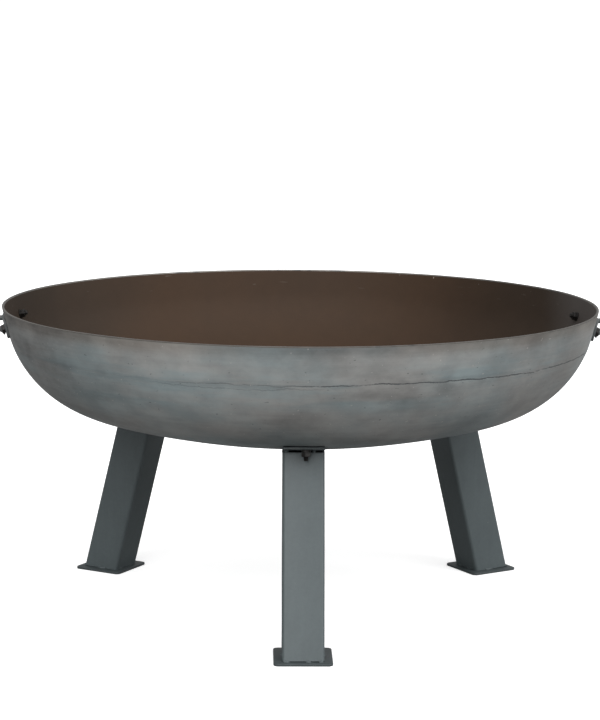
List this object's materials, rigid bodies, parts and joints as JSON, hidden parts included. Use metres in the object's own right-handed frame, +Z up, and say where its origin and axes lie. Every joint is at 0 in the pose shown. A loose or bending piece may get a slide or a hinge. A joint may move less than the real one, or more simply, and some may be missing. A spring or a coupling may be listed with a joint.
{
  "type": "fire bowl",
  "caption": "Wide shallow round steel bowl for an open fire, on splayed square-tube legs with foot plates, with a bolted U-shaped lifting handle on each side.",
  "frame": {"origin": "on the ground under the middle of the bowl", "axes": "+X towards one handle, +Y away from the front leg, +Z up"},
  "size_m": [0.862, 0.762, 0.385],
  "materials": {
    "bowl_steel": "bare hot-rolled sheet steel, matt to satin, mottled blue-grey and warm grey",
    "leg_paint": "satin dark blue-grey paint",
    "handle_paint": "satin dark blue-grey paint",
    "black_fixings": "black oxide steel"
  },
  "bodies": {
    "root": {"bowl_wall": "bowl_steel", "bowl_dish": "bowl_steel", "leg_tube_front": "leg_paint", "leg_tube_right": "leg_paint", "leg_tube_left": "leg_paint", "leg_top_plate_front": "leg_paint", "leg_top_plate_right": "leg_paint", "leg_top_plate_left": "leg_paint", "foot_plate_front": "leg_paint", "foot_plate_right": "leg_paint", "foot_plate_left": "leg_paint", "leg_bolt_front_outer": "black_fixings", "leg_bolt_front_inner": "black_fixings", "leg_bolt_right_outer": "black_fixings", "leg_bolt_right_inner": "black_fixings", "leg_bolt_left_outer": "black_fixings", "leg_bolt_left_inner": "black_fixings", "leg_washer_front_outer": "black_fixings", "leg_washer_front_inner": "black_fixings", "leg_washer_right_outer": "black_fixings", "leg_washer_right_inner": "black_fixings", "leg_washer_left_outer": "black_fixings", "leg_washer_left_inner": "black_fixings", "leg_spring_washer_front_outer": "black_fixings", "leg_spring_washer_front_inner": "black_fixings", "leg_spring_washer_right_outer": "black_fixings", "leg_spring_washer_right_inner": "black_fixings", "leg_spring_washer_left_outer": "black_fixings", "leg_spring_washer_left_inner": "black_fixings", "leg_nut_front_outer": "black_fixings", "leg_nut_front_inner": "black_fixings", "leg_nut_right_outer": "black_fixings", "leg_nut_right_inner": "black_fixings", "leg_nut_left_outer": "black_fixings", "leg_nut_left_inner": "black_fixings", "handle_plate_right": "handle_paint", "handle_plate_left": "handle_paint", "handle_rod_right": "handle_paint", "handle_rod_left": "handle_paint", "handle_bolt_right_front": "black_fixings", "handle_bolt_right_rear": "black_fixings", "handle_bolt_left_front": "black_fixings", "handle_bolt_left_rear": "black_fixings", "handle_washer_right_front": "black_fixings", "handle_washer_right_rear": "black_fixings", "handle_washer_left_front": "black_fixings", "handle_washer_left_rear": "black_fixings", "handle_nut_right_front": "black_fixings", "handle_nut_right_rear": "black_fixings", "handle_nut_left_front": "black_fixings", "handle_nut_left_rear": "black_fixings"}
  },
  "joints": []
}
